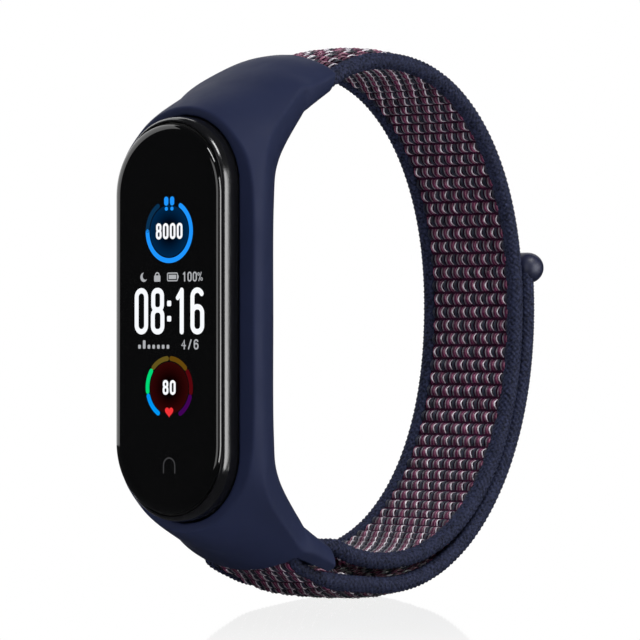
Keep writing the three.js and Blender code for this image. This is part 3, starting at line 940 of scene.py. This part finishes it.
def cut_lugs(case):
    """Opens the top lug's recess and the bottom lug, whose crossbar then goes back in."""
    boolean(case, strap_room(0, RECESS_LENGTH))
    hem_room = PIN_PLACE + HEM_ROOM * circle(turns(32))
    for outline in (hem_room, SLOT_OUTLINE):
        boolean(case, prism_rings(outline, SLOT_HALF_WIDTH))
    boolean(case, prism_rings(crossbar_outline(), SLOT_HALF_WIDTH + 0.4), "UNION")


def soften(obj):
    """Rounds every edge a little, by a fine remesh and smoothing."""
    remesh = obj.modifiers.new("remesh", "REMESH")
    remesh.mode = "VOXEL"
    remesh.voxel_size = VOXEL / 1000
    remesh.use_smooth_shade = True
    smooth = obj.modifiers.new("smooth", "SMOOTH")
    smooth.factor = 0.5
    smooth.iterations = 6
    apply_modifiers(obj)


def make_case(material):
    points, faces = loft_data(case_rings())
    case = new_object("case_body", points, faces, material, None)
    cut_pocket(case)
    cut_lugs(case)
    soften(case)
    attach(case, "band")
    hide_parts("carrier_case")


# ------------ tracker

SHELL_WALL = 1
GLASS_FLAT_RADIUS = 6.4
GLASS_EDGE_DEPTH = 0.6
SENSOR_RADIUS, SENSOR_STRAIGHT, SENSOR_Z = 2.6, 2.2, 1.0
CONTACT_X, CONTACT_Z, CONTACT_RADIUS = 1.9, -12.5, 1.0


def turned_rings(levels, x, z, steps=40):
    """Round rings from front to back: levels are [depth behind the glass, radius]."""
    outline = circle(turns(steps))
    return [at_depth([x, z] + radius * outline, depth) for depth, radius in levels]


def make_shell(material):
    outside = fillet_profile([(0.95, 7.25), *SHELL_LEVELS[:-1], (11.8, 4.5),
                              (CAPSULE_DEPTH, 4.1)], 0.5, 6)
    points, faces = loft_data(stack_rings(outside, CAPSULE_STRAIGHT))
    shell = new_object("capsule_body", points, faces, material, None)
    inside = [(-1, LIP_RADIUS), (1.5, LIP_RADIUS)]
    inside += [(depth, radius - SHELL_WALL) for depth, radius in SHELL_LEVELS[2:-1]]
    boolean(shell, stack_rings([*inside, (11, 4.1)], CAPSULE_STRAIGHT))
    window = [(depth, SENSOR_RADIUS + 0.1) for depth in (9, 13)]
    boolean(shell, stack_rings(window, SENSOR_STRAIGHT, SENSOR_Z))
    hole = [(depth, CONTACT_RADIUS + 0.12) for depth in (9, 13)]
    for side in (-1, 1):
        boolean(shell, turned_rings(hole, side * CONTACT_X, CONTACT_Z))
    sharpen(shell, 35)
    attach(shell, "tracker")
    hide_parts("capsule_shell")


def make_glass(material):
    """Flat glass whose edge rounds off to its full radius."""
    edge = GLASS_RADIUS - GLASS_FLAT_RADIUS
    levels = [(GLASS_EDGE_DEPTH * (1 - math.cos(a)), GLASS_FLAT_RADIUS + edge * math.sin(a))
              for a in np.linspace(0, math.pi / 2, 16)] + [(0.7, GLASS_RADIUS)]
    glass = loft("glass_cover", stack_rings(levels, GLASS_STRAIGHT, steps=64), material,
                 "tracker")
    sharpen(glass, 60)
    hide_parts("cover_glass")


def make_window(material):
    levels = [(10.7, SENSOR_RADIUS), (12, SENSOR_RADIUS), (12.1, 2.55), (12.2, 2.3), (12.25, 1.8)]
    rings = stack_rings(levels, SENSOR_STRAIGHT, SENSOR_Z)
    window = loft("sensor_lens", rings, material, "tracker")
    sharpen(window, 50)
    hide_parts("sensor_window")


def make_contacts(material):
    """Two gold pads with a shallow dish in each."""
    levels = [(10.1, 1.0), (11.85, 1.0), (11.95, 0.92), (11.9, 0.6), (11.86, 0.2)]
    for i, side in ((1, -1), (2, 1)):
        rings = turned_rings(levels, side * CONTACT_X, CONTACT_Z, 32)
        pad = loft(f"contact_pad_{i}", rings, material, "tracker")
        sharpen(pad, 40)
        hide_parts(f"charging_contact_{i}")


# ------------ display picture

PICTURE_SCALE = 0.974
PICTURE_SHIFT = (0.65, -0.21)


def on_screen(x, z):
    """Place on the glass of a point in the picture's own millimetres."""
    return PICTURE_SHIFT[0] + PICTURE_SCALE * x, PICTURE_SHIFT[1] + PICTURE_SCALE * z


class Picture:
    """Flat shapes in one colour on the glass, gathered into one mesh."""

    def __init__(self, height=0.02):
        self.points, self.faces = [], []
        self.y = SCREEN_Y - height

    def polygon(self, outline):
        start = len(self.points)
        self.points.extend((x, self.y, z) for x, z in outline)
        self.faces.append(list(range(start, start + len(outline))))

    def strip(self, line, width, closed=False):
        """Line of an even width with round ends."""
        line = np.asarray(line, float)
        if closed:
            ahead, behind = np.roll(line, -1, 0), np.roll(line, 1, 0)
        else:
            ahead = np.concatenate([line[1:], line[-1:]])
            behind = np.concatenate([line[:1], line[:-1]])
        run = ahead - behind
        run /= np.linalg.norm(run, axis=1)[:, None]
        side = np.stack([-run[:, 1], run[:, 0]], 1) * width / 2
        start = len(self.points)
        for spot, out in zip(line, side):
            self.points.extend((x, self.y, z) for x, z in (spot + out, spot - out))
        steps = len(line) if closed else len(line) - 1
        for i in range(steps):
            a, b = start + 2 * i, start + 2 * ((i + 1) % len(line))
            self.faces.append([a, a + 1, b + 1, b])
        if not closed:
            for spot, out, sign in ((line[0], side[0], 1), (line[-1], side[-1], -1)):
                turn = math.atan2(out[1], out[0]) + sign * np.linspace(0, math.pi, 7)
                self.polygon(spot + width / 2 * circle(turn))

    def build(self, name, material):
        points = []
        for x, y, z in self.points:
            x, z = on_screen(x, z)
            points.append((x, y, z))
        obj = new_object(name, points, self.faces, material, "tracker", smooth=False)
        bm = bmesh.new()
        bm.from_mesh(obj.data)
        for face in bm.faces:
            face.normal_update()
            if face.normal.y > 0:
                face.normal_flip()
        bm.to_mesh(obj.data)
        bm.free()


def arc(x, z, radius, start, end, steps):
    """Points of an arc; angles in degrees run clockwise from the top."""
    turn = np.radians(np.linspace(start, end, steps + 1))
    return [(x + radius * math.sin(a), z + radius * math.cos(a)) for a in turn]


def rounded(x, z, width, height, radius):
    """Closed outline of a rounded rectangle."""
    points = []
    for sx, sz, start in ((1, 1, 0), (1, -1, 90), (-1, -1, 180), (-1, 1, 270)):
        points += arc(x + sx * (width / 2 - radius), z + sz * (height / 2 - radius), radius,
                      start, start + 90, 6)
    return points


def draw_digit(picture, digit, x, z, width, height, stroke):
    """One figure of a plain condensed face, centred at x, z."""
    w, h = width - stroke, height - stroke
    r = w / 2

    def line(*points, weight=1.0):
        picture.strip([(x + a * w, z + b * h) for a, b in points], stroke * weight)

    def loop(up, wide, high, corner):
        picture.strip(rounded(x, z + up * h, w * wide, h * high, r * corner), stroke, closed=True)

    if digit == "0":
        loop(0, 1, 1, 1)
    elif digit == "8":
        loop(0.265, 0.92, 0.47, 0.8)
        loop(-0.235, 1, 0.53, 0.9)
    elif digit == "1":
        line((0.1, -0.5), (0.1, 0.5))
        line((0.1, 0.5), (-0.32, 0.32), weight=0.9)
    elif digit == "6":
        loop(-0.2, 1, 0.6, 0.95)
        hook = arc(x, z + h / 2 - r, r, -90, 62, 12)
        picture.strip([(x - r, z - h * 0.2), *hook], stroke)
    elif digit == "4":
        line((0.2, -0.5), (0.2, 0.5), (-0.5, -0.15), (0.5, -0.15))
    elif digit == "/":
        line((-0.35, -0.5), (0.35, 0.5))
    elif digit == "%":
        line((-0.4, -0.5), (0.4, 0.5), weight=0.7)
        for side in (-1, 1):
            picture.strip(arc(x + side * w * 0.5, z - side * h * 0.3, h * 0.15, 0, 360, 10),
                          stroke * 0.6)


def draw_figures(picture, text, x, z, width, height, stroke, gap):
    """A run of figures centred at x, z."""
    total = len(text) * width + (len(text) - 1) * gap
    for i, digit in enumerate(text):
        draw_digit(picture, digit, x - total / 2 + width / 2 + i * (width + gap), z, width,
                   height, stroke)


RING_RADIUS = 3.28
RING_STROKE = 0.55
STEP_RING_Z = 10.0
HEART_RING_Z = -7.45
KEY_Z = -16.1
KEY_HALF_WIDTH = 0.85


def heart_outline(x, z, size):
    points = []
    for a in turns(40):
        points.append((
            x + size * 16 * math.sin(a) ** 3 / 32,
            z + size * (13 * math.cos(a) - 5 * math.cos(2 * a) - 2 * math.cos(3 * a)
                        - math.cos(4 * a)) / 32))
    return points


def glow_material(name, color, x, z, inner, outer):
    """Emission that fades from a ring inwards."""
    mat = Nodes(name, (0, 0, 0), 0.5, Specular_IOR_Level=0.0)
    x, z = on_screen(x, z)
    mapping = mat.add("ShaderNodeMapping")
    mapping.inputs["Location"].default_value = tuple(-place([x, SCREEN_Y, z])[0])
    mat.link(mat.coordinates, mapping.inputs["Vector"])
    distance = mat.length(mapping.outputs["Vector"])
    glow = mat.span(distance, (inner / 1000, outer / 1000), (0, 1), True)
    mat.link(glow, mat.shader.inputs["Emission Strength"])
    mat.shader.inputs["Emission Color"].default_value = (*color, 1)
    return mat.material


TIME_Z = 1.1
STATUS_Z = 4.9
DATE_Z = -2.6


def make_figures():
    """The time and the numbers in the two rings."""
    white = Picture()
    draw_figures(white, "08", -2.98, TIME_Z, 2.05, 5.2, 0.6, 0.42)
    draw_figures(white, "16", 2.98, TIME_Z, 2.05, 5.2, 0.6, 0.42)
    for dz in (-0.85, 0.85):
        white.polygon(rounded(0.0, TIME_Z + dz, 0.62, 0.62, 0.14))
    draw_figures(white, "8000", 0.0, STEP_RING_Z, 0.86, 1.8, 0.3, 0.19)
    draw_figures(white, "80", 0.0, HEART_RING_Z + 0.05, 0.88, 1.65, 0.3, 0.2)
    white.build("picture_figures", light_material("light_white", (0.95, 0.97, 1.0)))


def make_status():
    """Moon, lock, battery and charge over the time, day marks and date under it."""
    grey = Picture()
    grey.polygon(arc(-3.85, STATUS_Z, 0.52, 116, 362, 18)
                 + arc(-3.6, STATUS_Z + 0.15, 0.43, 326, 152, 18))
    grey.polygon(rounded(-1.8, STATUS_Z - 0.16, 0.95, 0.7, 0.12))
    grey.strip(arc(-1.8, STATUS_Z + 0.2, 0.28, -90, 90, 10), 0.15)
    grey.strip(rounded(0.5, STATUS_Z, 1.5, 0.85, 0.15), 0.13, closed=True)
    grey.polygon(rounded(0.5, STATUS_Z, 1.12, 0.48, 0.06))
    grey.polygon(rounded(1.36, STATUS_Z, 0.12, 0.36, 0.04))
    draw_figures(grey, "100%", 3.45, STATUS_Z, 0.62, 1.1, 0.17, 0.16)
    for day in range(7):
        height = 0.95 if day == 1 else 0.45
        grey.polygon(rounded(-4.5 + 0.72 * day, DATE_Z - 0.5 + height / 2, 0.4, height, 0.12))
    draw_figures(grey, "4/6", 3.1, DATE_Z, 0.72, 1.15, 0.18, 0.22)
    grey.build("picture_status", light_material("light_grey", (0.42, 0.43, 0.45)))


def make_step_ring():
    """Ring that is part lit, with two footprints in its gap."""
    blue, dim = Picture(), Picture()
    blue.strip(arc(0, STEP_RING_Z, RING_RADIUS, 31, 270, 60), RING_STROKE)
    dim.strip(arc(0, STEP_RING_Z, RING_RADIUS, 272, 329, 20), RING_STROKE)
    for side in (-1, 1):
        blue.polygon(rounded(side * 0.44, STEP_RING_Z + 3.35, 0.64, 1.0, 0.3))
        blue.polygon(rounded(side * 0.42, STEP_RING_Z + 2.5, 0.48, 0.42, 0.2))
    blue.build("picture_step_ring", light_material("light_blue", (0.013, 0.3, 1.0)))
    dim.build("picture_step_rest", light_material("light_dim_blue", (0.003, 0.03, 0.08)))


# Start and end in degrees and colour of each heart-rate zone.
HEART_ZONES = (
    (208, 256, (0.0, 0.29, 0.87)), (260, 307, (0.0, 0.68, 0.18)),
    (311, 357, (0.12, 0.085, 0.012)), (3, 50, (0.12, 0.06, 0.004)),
    (54, 101, (0.085, 0.002, 0.004)), (105, 152, (0.05, 0.001, 0.085)),
)


def make_heart_ring():
    for i, (start, end, color) in enumerate(HEART_ZONES, 1):
        segment = Picture()
        segment.strip(arc(0, HEART_RING_Z, RING_RADIUS, start + 2.5, end - 2.5, 20), RING_STROKE)
        segment.build(f"picture_heart_zone_{i}", light_material(f"light_zone_{i}", color))
    heart = Picture()
    heart.polygon(heart_outline(0, HEART_RING_Z - 2.65, 1.25))
    heart.build("picture_heart", light_material("light_red", (0.87, 0.035, 0.04)))


def make_glows():
    """Dim glow inside each ring, under its figures."""
    for name, z, color in (("blue", STEP_RING_Z, (0.0, 0.022, 0.075)),
                           ("red", HEART_RING_Z, (0.03, 0.002, 0.002))):
        glow = Picture(0.01)
        glow.polygon(arc(0, z, RING_RADIUS - 0.4, 0, 354, 59))
        glow.build(f"picture_glow_{name}",
                   glow_material(f"light_glow_{name}", color, 0, z, 0.4, 3.4))


def make_key_mark():
    mark = Picture()
    arch = arc(0, KEY_Z, KEY_HALF_WIDTH, -90, 90, 16)[1:-1]
    legs = [[(x, KEY_Z), (x, KEY_Z - 0.8)] for x in (-KEY_HALF_WIDTH, KEY_HALF_WIDTH)]
    mark.strip(legs[0][::-1] + arch + legs[1], 0.17)
    # The printed key mark is made to glow faintly: painted light standing in for lamp light on its
    # print.
    mark.build("touch_key_mark", light_material("light_key", (0.045, 0.045, 0.048)))


# ------------ the object's materials

def dress_cad_nodes(materials):
    """Gives every CAD node that still shows the material of its slot."""
    slot_of = {row["node"]: row["material_slot"] for row in frame["record"]["subparts"]}
    for name, obj in frame["nodes"].items():
        obj.data.materials.clear()
        obj.data.materials.append(materials[slot_of[name]])
        obj.data.polygons.foreach_set("use_smooth", np.zeros(len(obj.data.polygons), bool))


def make_materials():
    yarns = [
        yarn_material("yarn_white", (0.22, 0.18, 0.23), (0.85, 0.79, 0.87), 0.25, 0.9, coat=0.8),
        yarn_material("yarn_grey", (0.09, 0.09, 0.11), (0.22, 0.21, 0.25), 0.35, 0.5),
        yarn_material("yarn_maroon", (0.036, 0.004, 0.022), (0.13, 0.012, 0.066), 0.4, 0.35),
        yarn_material("yarn_pink", (0.13, 0.02, 0.06), (0.38, 0.09, 0.19), 0.3, 0.7),
        yarn_material("yarn_slate", (0.007, 0.009, 0.02), (0.024, 0.028, 0.052), 0.4, 0.3),
    ]
    ground = yarn_material("ground_cloth", (0.014, 0.002, 0.01), (0.034, 0.006, 0.024), 0.8, 0.1)
    return {
        "silicone": silicone_material(),
        "weave": ground,
        "ground": ground,
        "yarns": yarns,
        "cord": yarn_material("navy_cord", (0.002, 0.003, 0.01), (0.03, 0.037, 0.085),
                              0.7, 0.12, 0.3),
        "hooks": plastic_material("hook_tape", (0.012, 0.013, 0.02), 0.6),
        "tab": plastic_material("navy_bar", (0.012, 0.015, 0.042), 0.42, 0.2, 0.3),
        "glass": gloss_material("black_glass", (0.001, 0.001, 0.001), 0.05),
        "shell": gloss_material("black_shell", (0.006, 0.006, 0.007), 0.16),
        "rubber": plastic_material("gasket_rubber", (0.004, 0.004, 0.004), 0.8),
        "display": gloss_material("display_face", (0.004, 0.006, 0.012), 0.1),
        "flex": gloss_material("flex_foil", (0.38, 0.13, 0.03), 0.4),
        "frame": metal_material("cast_frame", (0.3, 0.31, 0.33), 0.45),
        "board": plastic_material("circuit_board", (0.01, 0.08, 0.03), 0.5),
        "chip": plastic_material("chip_package", (0.012, 0.012, 0.014), 0.6),
        "battery": metal_material("battery_foil", (0.5, 0.51, 0.53), 0.35),
        "steel": metal_material("steel", (0.55, 0.55, 0.57), 0.25),
        "gold": metal_material("gold_plate", (0.8, 0.55, 0.2), 0.22),
        "lens": gloss_material("sensor_glass", (0.004, 0.01, 0.008), 0.05),
        "led": gloss_material("led_lens", (0.06, 0.75, 0.15), 0.2),
        "magnet": metal_material("magnet_nickel", (0.45, 0.44, 0.42), 0.3),
    }


make_camera()
make_studio()
MATERIALS = make_materials()
dress_cad_nodes(MATERIALS)
make_case(MATERIALS["silicone"])
make_strap(MATERIALS)
make_hooks(MATERIALS["hooks"])
make_end_tab(MATERIALS["tab"])
make_shell(MATERIALS["shell"])
make_glass(MATERIALS["glass"])
make_window(MATERIALS["lens"])
make_contacts(MATERIALS["gold"])
make_figures()
make_status()
make_step_ring()
make_heart_ring()
make_glows()
make_key_mark()
